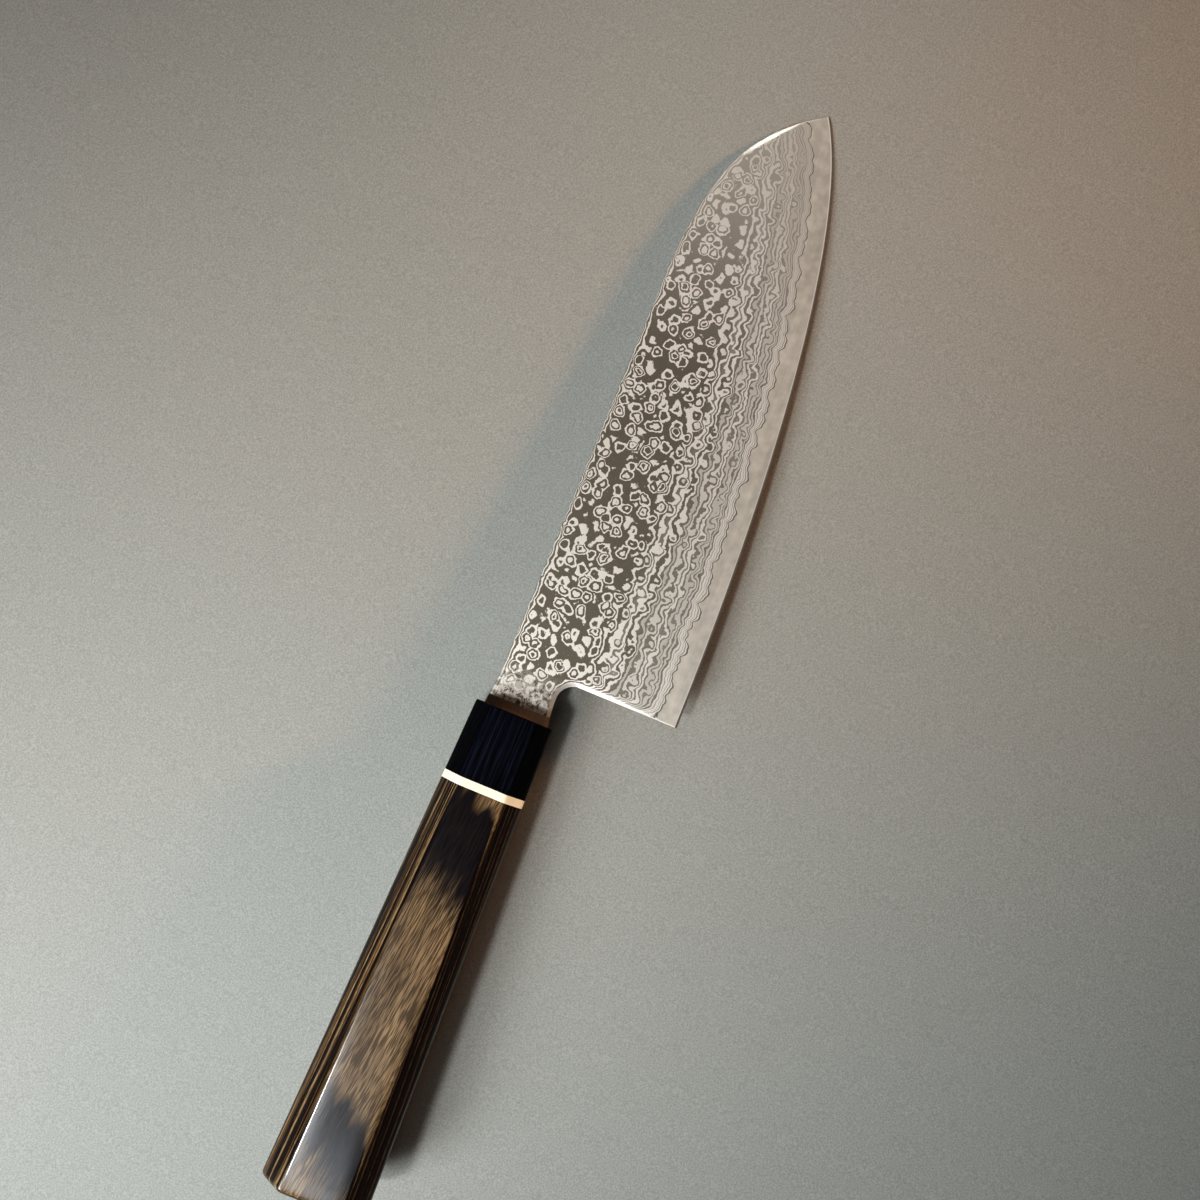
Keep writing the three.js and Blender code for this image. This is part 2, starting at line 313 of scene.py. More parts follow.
tang_low, tang_high = (np.array([-TANG_ROOT, TANG_ROOT]) - under[0, 1]) / (spine[0, 1] - under[0, 1])
steps = np.linspace(0.0, 1.0, TOP_ROWS)
top_shares = np.unique(np.concatenate([
    tang_low * steps**2,
    lerp(tang_low, tang_high, steps),
    1 - (1 - tang_high) * steps**2,
]).round(9))
core_row = BEVEL_ROWS + CORE_ROWS
top_row = core_row + LOWER_ROWS
tang_rows = top_row + np.searchsorted(top_shares, np.array([tang_low, tang_high]).round(9))


def band(start, end, shares):
    return start[:, None] + (end - start)[:, None] * shares


def lattice(line):
    """Heights of all nodes, column by column, for one side's core line."""
    bevel_y = np.where(on_blade, np.minimum(low_y + BEVEL_HEIGHT / edge_cosine, high_y), low_y)
    core_y = np.where(on_blade, np.minimum(low_y + line / edge_cosine, high_y), low_y)
    first = np.argmax(on_blade)
    choil_share = (choil[1] - core_y[first]) / (high_y[first] - core_y[first])
    top_y = np.where(on_blade, lerp(core_y, high_y, choil_share), low_y)
    y = np.concatenate([
        band(low_y, bevel_y, np.linspace(0, 1, BEVEL_ROWS, endpoint=False)),
        band(bevel_y, core_y, np.linspace(0, 1, CORE_ROWS, endpoint=False)),
        band(core_y, top_y, np.linspace(0, 1, LOWER_ROWS, endpoint=False)),
        band(top_y, high_y, top_shares),
    ], axis=1)
    tang_half = np.where(
        columns < tang_round,
        np.sqrt(np.clip(TANG_END**2 - (columns - tang_round) ** 2, 0.0, None)),
        np.interp(columns, (tang_round, 0.0), (TANG_END, TANG_ROOT)),
    )
    across = np.clip(lerp(-1, 1, (top_shares - tang_low) / (tang_high - tang_low)), -1, 1)
    y[in_tang, :top_row] = -tang_half[in_tang, None]
    y[in_tang, top_row:] = tang_half[in_tang, None] * across
    return y


right_y = lattice(right_line)
left_y = lattice(left_line)
print(right_y.shape[1], "rows, of which the tang takes", tang_rows[1] - tang_rows[0])

# %% [markdown]
# ## Three layers of steel
# Each layer is a shell between two heights, closed with a wall along every open side of the cells that it
# keeps. Boolean cuts could part the layers too, but they leave slivers along a wavy line, where the lattice
# has a row of nodes.

# %% Shell maker
MAP = "OFBake"
STRIP_SPACING = 0.012  # strips for the walls at the foot of the flat map
STRIP_HEIGHT = 0.01
WELD = 0.002 * MM
STEEL_CREASE = 6  # degrees


def steel_piece(name, y, top, bottom, keep, marks, panels):
    """Closes the kept cells between two heights. panels says where the faces go on the flat map."""
    count = y.size
    index = np.arange(count).reshape(y.shape)
    x = np.repeat(columns[:, None], y.shape[1], axis=1)
    points = np.concatenate([np.stack([x, y, z], axis=-1).reshape(-1, 3) for z in (top, bottom)])
    kept = np.pad(keep, 1)
    faces = []
    spots = []

    def spot(corners, panel):
        low, high = panel
        return [(i / len(columns), lerp(low, high, j / y.shape[1])) for i, j in corners]

    for i, j in zip(*np.nonzero(keep)):
        corners = [(i, j), (i + 1, j), (i + 1, j + 1), (i, j + 1)]
        ring = [int(index[corner]) for corner in corners]
        faces.append(ring)
        spots.append(spot(corners, panels["top"]))
        faces.append([node + count for node in reversed(ring)])
        spots.append(spot(corners[::-1], panels["bottom"]))
        beside = (kept[i + 1, j], kept[i + 2, j + 1], kept[i + 1, j + 2], kept[i, j + 1])
        for side in range(4):
            if not beside[side]:
                a, b = ring[side], ring[(side + 1) % 4]
                faces.append([a, a + count, b + count, b])
                step = j if side % 2 else i
                size = y.shape[1] if side % 2 else len(columns)
                low = STRIP_SPACING * side
                high = low + STRIP_HEIGHT
                left, right = step / size, (step + 1) / size
                spots.append([(left, low), (left, high), (right, high), (right, low)])
    mesh = bpy.data.meshes.new(name)
    mesh.from_pydata([place(*point) for point in points], [], faces)
    for key, values in marks.items():
        mesh.attributes.new(key, "FLOAT", "POINT").data.foreach_set("value", np.concatenate(values).ravel())
    flat_map = mesh.uv_layers.new(name=MAP)
    flat_map.data.foreach_set("uv", np.array([uv for ring in spots for uv in ring], float).ravel())
    work = bmesh.new()
    work.from_mesh(mesh)
    bmesh.ops.remove_doubles(work, verts=work.verts, dist=WELD)
    bmesh.ops.dissolve_degenerate(work, edges=work.edges, dist=WELD)
    bmesh.ops.delete(work, geom=[v for v in work.verts if not v.link_faces], context="VERTS")
    work.to_mesh(mesh)
    work.free()
    mesh.shade_smooth()
    mesh.set_sharp_from_angle(angle=math.radians(STEEL_CREASE))
    piece = bpy.data.objects.new(name, mesh)
    bpy.context.scene.collection.objects.link(piece)
    print(name, len(mesh.polygons), "faces")
    return piece


print("a layer closes up to", right_y[1:, 1:].size, "cells")

# %% [markdown]
# ## Marks for the finish
# Four numbers are stored with every node for the finish to read: its height over the edge, how many pairs
# of forged layers lie between it and the core, and how much file and thinning took there. All would be
# hard to work out inside a shader, and here they come from the same values as the shape.

# %% Marks
LAYER_PAIRS = 13.0
LINE_ZONES = (23.0, 15.0)  # how far the contour lines climb over the core line, at the heel and at the tip
LINE_SPREAD = 1.35  # how much the lines crowd at the core
LOBE_REACH = 3.5  # how far over the core line the layers still follow its lobes
EASE_PAIRS = 17.0  # layers that an eased outline would cut if it took the whole thickness
FIRST_LAYERS = 0.3  # at least as many are cut in the first millimetre over the core line


def side_of(y, line):
    """Ground half thickness, the core's face, and the marks that the finish reads, at every node."""
    half, height, loss, filed, brow = surface(y)
    face = np.where(on_blade, ground(line, along), CORE_HALF)[:, None]
    lobes = (line - mean_line)[:, None]
    over_mean = height - mean_line[:, None]
    above = over_mean - lobes * np.exp(-np.clip(over_mean - lobes, 0.0, None) / LOBE_REACH)
    climb = np.clip(above / lerp(*LINE_ZONES, along)[:, None], 0.0, 1.0)
    layers = LAYER_PAIRS * (1 - (1 - climb) ** LINE_SPREAD) - EASE_PAIRS * loss
    layers = np.where(above < 0, above, np.maximum(layers, FIRST_LAYERS * np.minimum(above, 1.0)))
    return half, face, layers, {"height": (height, height), "filed": (filed, filed), "brow": (brow, brow)}


def cells(first_row):
    """Which cells a layer keeps, from a row of the blade upwards."""
    keep = np.zeros((len(columns) - 1, right_y.shape[1] - 1), bool)
    keep[:, first_row:] = on_blade[:-1, None]
    keep[:, top_row:] |= ~in_tang[:-1, None]
    keep[:, tang_rows[0]:tang_rows[1]] = True
    return keep


print("most layers cut on the right side:", side_of(right_y, right_line)[2].max().round(2), "pairs")

# %% [markdown]
# ## The blade's pieces
# The core runs through the whole blade. The claddings start at its wavy line, each on its own side, so
# the core's left face follows the left line and its right face the right one, and the layers lie close.

# %% Blade shells
BARE = -0.05  # a count below nothing marks the core
THINNEST = 1e-4

half, face, layers, marks = side_of(right_y, right_line)
bare = np.minimum(layers, BARE)
core_right = np.minimum(half, face)
core_left = np.minimum(half, side_of(right_y, left_line)[1])
core = steel_piece(
    "core_steel", right_y, core_right, -core_left, cells(0),
    {"layers": (bare, bare), **marks}, {"top": (0.53, 1.0), "bottom": (0.05, 0.52)},
)
claddings = []
for name, y, line, sign in (
    ("right_cladding", right_y, right_line, 1),
    ("left_cladding", left_y, left_line, -1),
):
    half, face, layers, marks = side_of(y, line)
    outer = np.maximum(half, face)
    inner = np.broadcast_to(face, half.shape)
    thick = outer - inner > THINNEST
    some = thick[:-1, :-1] | thick[1:, :-1] | thick[1:, 1:] | thick[:-1, 1:]
    levels = (outer, inner) if sign > 0 else (-inner, -outer)
    counts = (np.maximum(layers, 0.0), np.zeros(half.shape))
    shown = {"top": (0.12, 1.0), "bottom": (0.05, 0.11)}
    hidden = {"top": (0.05, 0.11), "bottom": (0.12, 1.0)}
    claddings.append(steel_piece(
        name, y, *levels, cells(core_row) & some,
        {"layers": counts[::sign], **marks}, shown if sign > 0 else hidden,
    ))
right_cladding, left_cladding = claddings

# %% [markdown]
# ## The handle's outside
# Ferrule, ring and body are planed together, so they share one tapering octagon. A box with a bevel could
# stand in for it, but rings of points with softly rounded arrises, skinned from one end to the other,
# also give the bore inside each piece and the rounded rim of the butt.

# %% Handle rings
CHAMFERS = (4.5, 5.5)  # at the ferrule's face and at the butt
ARRIS = 0.65
FERRULE_ROUND = 0.4
BUTT_ROUND = 1.6
BORE_RADIUS = 6.6
SLOT = (5.0, 1.8)  # half width and half height
BORE_START = -3.9
BORE_END = -87.1
ARRIS_POINTS = 5
FLAT_POINTS = 3

ring_low, ring_high = reach("spacer_ring")
body_low, body_high = reach("handle_body")
rim_x = body_low[0] + BUTT_ROUND
ring_size = (ring_high - ring_low)[1:]
butt_size = (body_high - body_low)[1:]


def octagon(x, inset=0.0):
    """The handle's outside at one place along it, drawn in by an inset."""
    x_share = (min(x, 0.0) - ring_low[0]) / (rim_x - ring_low[0])
    half_y, half_z = lerp(ring_size, butt_size, min(x_share, 1.0)) / 2 - inset
    chamfer = lerp(*CHAMFERS, min(1.0, x / rim_x)) - inset * (2 - math.sqrt(2))
    flat_y, flat_z = half_y - chamfer, half_z - chamfer
    corners = np.array([
        (half_y, -flat_z), (half_y, flat_z), (flat_y, half_z), (-flat_y, half_z),
        (-half_y, flat_z), (-half_y, -flat_z), (-flat_y, -half_z), (flat_y, -half_z),
    ])
    ring = []
    for before, corner, after in zip(np.roll(corners, 1, 0), corners, np.roll(corners, -1, 0)):
        back = corner + (before - corner) * ARRIS / np.linalg.norm(before - corner)
        on = corner + (after - corner) * ARRIS / np.linalg.norm(after - corner)
        far = after + (corner - after) * ARRIS / np.linalg.norm(corner - after)
        ring.extend(bezier(back, corner, on, count=ARRIS_POINTS))
        ring.extend(on + (far - on) * np.linspace(0, 1, FLAT_POINTS + 2)[1:-1, None])
    return np.array([(x, y, z) for y, z in ring])


def bore(x):
    """A round hole with as many points as the outside."""
    ring = octagon(x)
    ring[:, 1:] *= BORE_RADIUS / np.linalg.norm(ring[:, 1:], axis=1)[:, None]
    return ring


def tang_slot(x):
    """The tang's slot with as many points as the outside."""
    ring = octagon(x)
    ring[:, 1:] /= np.max(np.abs(ring[:, 1:]) / SLOT, axis=1)[:, None]
    return ring


print("octagon of", len(octagon(0.0)), "points")

# %% [markdown]
# ## Skins for the handle
# Rims are a quarter round of rings that draw in as they go on, and long stretches get a ring every few
# millimetres. A loft joins each ring to the next with quads. A bevel modifier could round the rims too,
# but it would also round the bore and the slot.

# %% Skins
RING_SPACING = 4.0
ROUND_STEPS = 7
HANDLE_CREASE = 28  # degrees


def rounded(x, radius, way):
    """Rings round a rim: from the outside at x to an end that lies a radius further on."""
    return [octagon(x + way * radius * math.sin(turn), radius * (1 - math.cos(turn)))
            for turn in np.linspace(0, math.pi / 2, ROUND_STEPS)]


def stretch(from_x, to_x):
    """Plain rings between two places, without the ends."""
    count = max(2, round(abs(to_x - from_x) / RING_SPACING))
    return [octagon(x) for x in np.linspace(from_x, to_x, count + 1)[1:-1]]


def loft(name, rings, looped):
    """Skins rings with as many points each. A looped skin joins its last ring to its first."""
    points = np.concatenate(rings)
    size = len(rings[0])
    pairs = list(zip(range(len(rings)), range(1, len(rings))))
    if looped:
        pairs.append((len(rings) - 1, 0))
    faces = [
        (a * size + i, a * size + (i + 1) % size, b * size + (i + 1) % size, b * size + i)
        for a, b in pairs for i in range(size)
    ]
    if not looped:
        faces.append(tuple(range(size)))
        faces.append(tuple(range(len(points) - size, len(points))))
    mesh = bpy.data.meshes.new(name)
    mesh.from_pydata([place(*point) for point in points], [], faces)
    work = bmesh.new()
    work.from_mesh(mesh)
    bmesh.ops.recalc_face_normals(work, faces=work.faces)
    work.to_mesh(mesh)
    work.free()
    mesh.shade_smooth()
    mesh.set_sharp_from_angle(angle=math.radians(HANDLE_CREASE))
    piece = bpy.data.objects.new(name, mesh)
    bpy.context.scene.collection.objects.link(piece)
    print(name, len(mesh.polygons), "faces")
    return piece


print("rims have", ROUND_STEPS, "rings")

# %% [markdown]
# ## Ferrule, ring and body
# The ferrule has a slot that the tang enters and a wider round bore behind it. The ring is a plain
# washer, and the body has a blind bore for the dowel. Each is one list of rings, outside and then inside:
# the first two close on themselves, and the body gets a cap at either end of its list.

# %% Handle pieces
ring_x, body_x = ring_high[0], ring_low[0]
ferrule = loft("black_ferrule", [
    octagon(ring_x), *stretch(ring_x, -FERRULE_ROUND), *rounded(-FERRULE_ROUND, FERRULE_ROUND, 1),
    tang_slot(0.0), tang_slot(BORE_START), bore(BORE_START), bore(ring_x),
], True)
spacer = loft("ivory_ring", [octagon(body_x), octagon(ring_x), bore(ring_x), bore(body_x)], True)
body = loft("veneer_handle", [
    bore(BORE_END), bore(body_x), octagon(body_x), *stretch(body_x, rim_x), *rounded(rim_x, BUTT_ROUND, -1),
], False)

# %% [markdown]
# ## Pieces on the frame
# Every new skin stands for one solid and moves with it. The knife has no joints, so all ride on the one
# body. The dowel and the resin round the tang stay inside the handle and keep their own solids.

# %% Seat the pieces
skins = (
    (core, "blade_core", "core_steel"),
    (right_cladding, "cladding_right", "patterned_steel"),
    (left_cladding, "cladding_left", "patterned_steel"),
    (ferrule, "ferrule", "ferrule_wood"),
    (spacer, "spacer_ring", "spacer_plastic"),
    (body, "handle_body", "handle_wood"),
)
for piece, node, slot_name in skins:
    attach(piece, "root")
    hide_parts(node)
print("seated", len(skins), "skins for", len(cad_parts), "solids")

# %% [markdown]
# ## Writing finishes as sums
# A procedural finish is arithmetic on patterns. Wiring that arithmetic node by node is hard to read, so
# one small class wraps a socket: plus, minus, times and divide on it add Math nodes, and one method adds
# any other node.

# %% Signals
class Signal:
    """An output socket of a finish. Arithmetic on it adds Math nodes."""

    def __init__(self, tree, socket=None):
        self.tree = tree
        self.socket = socket

    def node(self, kind, settings, sockets, output=0):
        """Adds a node: first its settings, then the values or links of its sockets."""
        made = self.tree.nodes.new(kind)
        for key, value in settings.items():
            setattr(made, key, value)
        for key, value in sockets.items():
            if isinstance(value, Signal):
                self.tree.links.new(value.socket, made.inputs[key])
            else:
                made.inputs[key].default_value = value
        return Signal(self.tree, made.outputs[output])

    def maths(self, operation, *others):
        return self.node("ShaderNodeMath", {"operation": operation}, dict(enumerate((self, *others))))

    def __add__(self, other):
        return self.maths("ADD", other)

    def __sub__(self, other):
        return self.maths("SUBTRACT", other)

    def __rsub__(self, other):
        return self.node("ShaderNodeMath", {"operation": "SUBTRACT"}, {0: other, 1: self})

    def __mul__(self, other):
        return self.maths("MULTIPLY", other)

    def __truediv__(self, other):
        return self.maths("DIVIDE", other)

    def __rtruediv__(self, other):
        return self.node("ShaderNodeMath", {"operation": "DIVIDE"}, {0: other, 1: self})

    __radd__ = __add__
    __rmul__ = __mul__

    def ramp(self, low, high):
        """0 under low, 1 over high and a soft climb between. With low over high it falls."""
        ends = {"To Min": 0.0, "To Max": 1.0}
        if low > high:
            low, high = high, low
            ends = {"To Min": 1.0, "To Max": 0.0}
        sockets = {"Value": self, "From Min": low, "From Max": high, **ends}
        return self.node("ShaderNodeMapRange", {"interpolation_type": "SMOOTHSTEP"}, sockets)

    def mix(self, first, second):
        """The first colour where this is 0 and the second where it is 1."""
        sockets = {0: self, 6: first, 7: second}
        return self.node("ShaderNodeMix", {"data_type": "RGBA"}, sockets, 2)

    def noise(self, scale, detail=2.0, roughness=0.5, output=0):
        sockets = {"Vector": self, "Scale": scale, "Detail": detail, "Roughness": roughness}
        return self.node("ShaderNodeTexNoise", {}, sockets, output)

    def vector(self, operation, other):
        """Vector Math with a second vector."""
        return self.node("ShaderNodeVectorMath", {"operation": operation}, {0: self, 1: other})

    def part(self, axis):
        return self.node("ShaderNodeSeparateXYZ", {}, {0: self}, axis)

    def join(self, x, y, z):
        return self.node("ShaderNodeCombineXYZ", {}, {0: x, 1: y, 2: z})


print("a Signal knows", len([name for name in vars(Signal) if name.startswith("__r")]), "reflected operators")

# %% [markdown]
# ## Starting and ending a finish
# Every finish starts from the place on the knife, in the same millimetres as the shapes, and ends in one
# Principled shader. What never changes over a surface is set on the shader's own sockets.

# %% Finish helpers
def start_finish(name):
    """A new material, and its place signal in millimetres off the ferrule's face."""
    material = bpy.data.materials.new(name)
    material.use_nodes = True
    material.node_tree.nodes.clear()
    first = Signal(material.node_tree)
    metres = first.node("ShaderNodeTexCoord", {}, {}, "Object").vector("SUBTRACT", tuple(origin))
    spot = metres.vector("MULTIPLY", (1 / MM,) * 3)
    return material, spot


def end_finish(material, spot, bump=None, **sockets):
    """Ends a finish in a Principled shader. bump is a height signal and its depth in metres."""
    named = {key.replace("_", " "): value for key, value in sockets.items()}
    if bump:
        height, depth = bump
        relief = {"Height": height, "Distance": depth, "Strength": 1.0}
        named["Normal"] = spot.node("ShaderNodeBump", {}, relief)
    shader = spot.node("ShaderNodeBsdfPrincipled", {}, named)
    output = material.node_tree.nodes.new("ShaderNodeOutputMaterial")
    material.node_tree.links.new(shader.socket, output.inputs["Surface"])
    print("finish", material.name, len(material.node_tree.nodes), "nodes")
    return material


def clothe(piece, material):
    piece.data.materials.clear()
    piece.data.materials.append(material)


def tinted(color, share=1.0):
    """A colour for a socket, made lighter or darker by a share."""
    return (*[channel * share for channel in color], 1.0)


print("finishes measure from", tuple(round(v, 4) for v in origin), "m")

# %% [markdown]
# ## Layered steel
# Two steels are folded together, rolled and etched, and the acid darkens one of them. Where the grind
# cuts the layers they show as wavy contour lines along the edge; on the flats, hammer marks show as rings
# and islands. The count of layers that each node carries is the height on that map: dents are added to
# it, and every whole number starts a new pair of a light and a dark layer.

# %% Layer count
DENTS_PER_MM = 0.265
DENT_BEND = 2.4  # how far the dents are pulled out of round, in millimetres
CROWD = 1.8  # pairs of layers that crowd right over the core line
SIDE_SHIFT = 300.0  # moves the left side's dents away from the right side's


def mark(spot, name):
    """A number that the nodes of the blade carry."""
    return spot.node("ShaderNodeAttribute", {"attribute_name": name}, {}, "Fac")


def layer_count(spot, layers, calm):
    """Which pair of layers lies open at a place: the ground count, raised by hammer dents."""
    side = spot.part(2).maths("GREATER_THAN", 0.0)
    flat_spot = spot.join(spot.part(0) + side * SIDE_SHIFT, spot.part(1), 0.0)
    wobble = flat_spot.noise(0.42, 2.0, 0.5, "Color").vector("SUBTRACT", (0.5, 0.5, 0.5))
    bent = flat_spot.vector("ADD", wobble.vector("MULTIPLY", (DENT_BEND, DENT_BEND, 0.0)))
    dents = {"voronoi_dimensions": "2D", "feature": "SMOOTH_F1"}
    dent_sockets = {"Vector": bent, "Scale": DENTS_PER_MM, "Randomness": 0.72, "Smoothness": 0.12}
    far = spot.node("ShaderNodeTexVoronoi", dents, dent_sockets, "Distance")
    chance = spot.node("ShaderNodeTexVoronoi", dents, dent_sockets, "Color").part(0)
    hills = far.ramp(0.60, 0.05) * (chance * 1.35 + 0.55)
    swell = flat_spot.noise(0.22, 2.0, 0.5) * 2.2 - 1.1
    ripple = flat_spot.noise(0.33, 2.0, 0.5) * 1.8 - 0.9
    rags = flat_spot.noise(2.4, 2.0, 0.6) * 0.3 - 0.15
    relief = hills * (1.0 - calm * 0.25) + swell + rags + ripple * calm
    crowd = CROWD - CROWD * (layers * -0.9).maths("EXPONENT")
    return layers + crowd + (relief + 0.65) * layers.ramp(0.0, 3.0)


print("dents are about", round(1 / DENTS_PER_MM, 1), "mm apart")

# %% [markdown]
# ## Colours of the steel
# The etched layers are light and dark, dustier towards the tip and broken into blots at the neck. Where
# the neck enters the handle, a brown band is painted as the ferrule's shadow. The bare core has no layers:
# it is pale and a little uneven. Over the honed bevel a painted highlight draws a bright line, and the bevel
# below is painted darker as a reflection of a dark room. The filed heel is the brightest. All of it is one
# finish for three pieces, because the marks tell it what lies where.

# %% Layered steel
LIGHT_STEEL = (0.97, 0.915, 0.835)
DULL_STEEL = (0.40, 0.37, 0.305)
DARK_STEEL = (0.165, 0.142, 0.105)
CORE_STEEL = (0.86, 0.80, 0.695)
DUSTY_STEEL = (0.47, 0.43, 0.375)
# painted shadow: the two browns of the band painted at the neck where the ferrule's shadow falls
NECK_SHADOW_BROWNS = ((0.21, 0.165, 0.12), (0.50, 0.37, 0.25))
TIP_FADE = (95.0, 178.0)  # millimetres along the blade
NECK_FADE = (14.0, 5.0)
SHADOW_BAND_END = (3.1, 2.7)
# painted highlight: the height of the bright line drawn along the bevel's shoulder
BEVEL_GLINT_HEIGHT = 0.70  # height of the bright line over the edge
HONED_FROM = (0.56, 0.46)  # heights over which the honed bevel begins
ETCH_DEPTH = 0.01 * MM


def layered_steel():
    material, spot = start_finish("layered_steel")
    layers = mark(spot, "layers")
    height = mark(spot, "height")
    calm = layers.ramp(LAYER_PAIRS - 0.2, LAYER_PAIRS - 3.5)
    near_core = layers.ramp(4.0, 0.5)
    tipward = spot.part(0).ramp(*TIP_FADE)
    neckward = spot.part(0).ramp(*NECK_FADE)
    count = layer_count(spot, layers, calm)
    fold = (count.maths("FRACT") - 0.5).maths("ABSOLUTE") * 2.0
    drawn = {"noise_dimensions": "1D"}
    tone = spot.node("ShaderNodeTexWhiteNoise", drawn, {"W": count.maths("FLOOR")})
    pale = spot.node("ShaderNodeTexWhiteNoise", drawn, {"W": (count + 0.5).maths("FLOOR") + 0.5})
    dark = (fold + calm * (tone * 0.30 - 0.04) + near_core * 0.08).ramp(0.62, 0.48)
    depth = dark * (1.0 - calm * tone * 0.32) * (1.0 - near_core * 0.4)
    blots = spot.noise(0.7, 4.0, 0.8).ramp(0.49, 0.57)
    depth = depth * (1.0 - tipward * 0.58) + neckward * (blots * 0.75 - depth * 0.75)
    grain = spot.noise(5.0, 2.0, 0.6)
    dull = calm * pale.ramp(0.35, 1.0) * (1.0 - near_core) * 0.5
    light = dull.mix(tinted(LIGHT_STEEL), tinted(DULL_STEEL))
    light = (neckward * 0.15 + tipward * 0.68).mix(light, tinted(DUSTY_STEEL))
    etched = (depth * (0.8 + grain * 0.4)).mix(light, tinted(DARK_STEEL))
    is_core = layers.ramp(0.0, -0.03)
    border = layers.ramp(0.34, 0.16) * (1.0 - is_core)
    etched = (border * 0.95).mix(etched, tinted(DARK_STEEL))
    smear = spot.vector("MULTIPLY", (0.05, 0.35, 1.0)).noise(1.0, 3.0, 0.6) + spot.noise(0.35, 2.0, 0.5) - 0.5
    bare_steel = (smear - tipward * 0.35).mix(tinted(CORE_STEEL, 0.68), tinted(CORE_STEEL, 1.16))
    color = is_core.mix(etched, bare_steel)
    # Painted highlight: a bright line drawn along the shoulder of the bevel.
    painted_bevel_glint = (height - BEVEL_GLINT_HEIGHT).maths("ABSOLUTE").ramp(0.20, 0.05)
    color = painted_bevel_glint.mix(color, tinted(LIGHT_STEEL))
    # The honed bevel is really smoother, and its colour is also painted darker as a reflection of a dark
    # room.
    honed_and_painted_dark = height.ramp(*HONED_FROM)
    color = honed_and_painted_dark.mix(color, tinted(CORE_STEEL, 0.4))
    polish = mark(spot, "filed").ramp(0.0, 0.04)
    color = polish.mix(color, tinted(LIGHT_STEEL, 1.03))
    # Painted shadow: a brown band about 3 mm deep at the neck stands for the ferrule's shadow, darker towards
    # the spine.
    painted_neck_shadow = (spot.part(0) + spot.noise(0.5) * 0.8).ramp(*SHADOW_BAND_END)
    shadow_band_gradient = (spot.noise(1.3, 4.0, 0.7) * 16.0 - spot.part(1)).ramp(1.0, 14.0)
    color = painted_neck_shadow.mix(color, shadow_band_gradient.mix(*map(tinted, NECK_SHADOW_BROWNS)))
    rough = 0.50 + depth * 0.10 - is_core * 0.03 + grain * 0.06 - polish * 0.15
    rough = rough - mark(spot, "brow").ramp(0.0, 0.1) * 0.16 - honed_and_painted_dark * 0.22
    relief_height = (grain * 0.25 - depth) * (1.0 - is_core)
    return end_finish(
        material, spot, (relief_height, ETCH_DEPTH),
        Base_Color=color, Roughness=rough, Metallic=0.75,
    )


steel = layered_steel()
for piece in (core, right_cladding, left_cladding):
    clothe(piece, steel)

# %% [markdown]
# ## Black ferrule
# The ferrule is dyed black wood, planed and polished, with a fine grain along its length. A noise
# stretched along the grain drives the colour, the gloss and a shallow relief together. Its faint blue
# streaks are painted stronger on the flats as a painted sky reflection; the slanted sides keep a quarter
# of it and stay nearly black, so the finish asks how far a place lies from the flats.

# %% Black ferrule
UPPER_FLAT = 8.55  # its height over the blade's plane at the ferrule's face
JET = (0.0012, 0.0012, 0.0016)
# blue of the grain streaks, which is also used for the sky reflection painted on the flats
SKY_SHEEN_BLUE = (0.009, 0.011, 0.023)


def under_flat(spot):
    """How far a place on the handle lies below its upper flat, or above its lower one."""
    rise = (butt_size[1] / 2 - UPPER_FLAT) / rim_x
    return UPPER_FLAT + spot.part(0) * rise - spot.part(2).maths("ABSOLUTE")


def black_wood():
    material, spot = start_finish("black_wood")
    fibre = spot.vector("MULTIPLY", (0.03, 2.2, 2.2)).noise(1.0, 3.0, 0.6)
    pores = spot.vector("MULTIPLY", (0.12, 4.0, 4.0)).noise(1.0, 1.0, 0.5).ramp(0.58, 0.70)
    # Painted reflection: full blue sheen on the flats, a quarter of it on the slanted sides.
    flat_sheen_share = under_flat(spot).ramp(0.6, 0.2).maths("MAXIMUM", 0.25)
    grain_and_sky_sheen = fibre.ramp(0.35, 0.75) * (1.0 - pores) * flat_sheen_share
    color = grain_and_sky_sheen.mix(tinted(JET), tinted(SKY_SHEEN_BLUE))
    rough = 0.20 + fibre * 0.12 + pores * 0.2
    return end_finish(
        material, spot, (fibre - pores, 0.008 * MM),
        Base_Color=color, Roughness=rough, Specular_IOR_Level=0.07,
    )


clothe(ferrule, black_wood())

# %% [markdown]
# ## Ivory ring
# The ring is a cream plastic that looks like bone. It is nearly even, with faint clouds and very fine
# lines along the handle. One round noise and one stretched noise are enough for that.

# %% Ivory ring
IVORY = (0.86, 0.79, 0.58)
PALE_IVORY = (0.95, 0.90, 0.72)


def ivory():
    material, spot = start_finish("ivory_plastic")
    cloud = spot.noise(0.35, 3.0, 0.5)
    lines = spot.vector("MULTIPLY", (0.2, 5.0, 5.0)).noise(1.0, 2.0, 0.5)
    color = (cloud * 0.6 + lines * 0.4).ramp(0.3, 0.75).mix(tinted(IVORY), tinted(PALE_IVORY))
    return end_finish(material, spot, (lines, 0.006 * MM), Base_Color=color, Roughness=0.38 + lines * 0.1)


clothe(spacer, ivory())

# %% [markdown]
# ## Stained veneers
# The body is pressed from thin dyed veneers that lie flat with the blade. Its slanted sides cut across
# them and show fine gold, russet and dark stripes. The upper flat rises only 2.7 mm from end to end, and
# the lower one falls as much, so they cut each veneer along many millimetres and show ragged bands of
# brown and charcoal. Both come from one height through the stack, so bands and stripes meet at the
# arrises. Clear lacquer lies over all, as a coat on the shader.

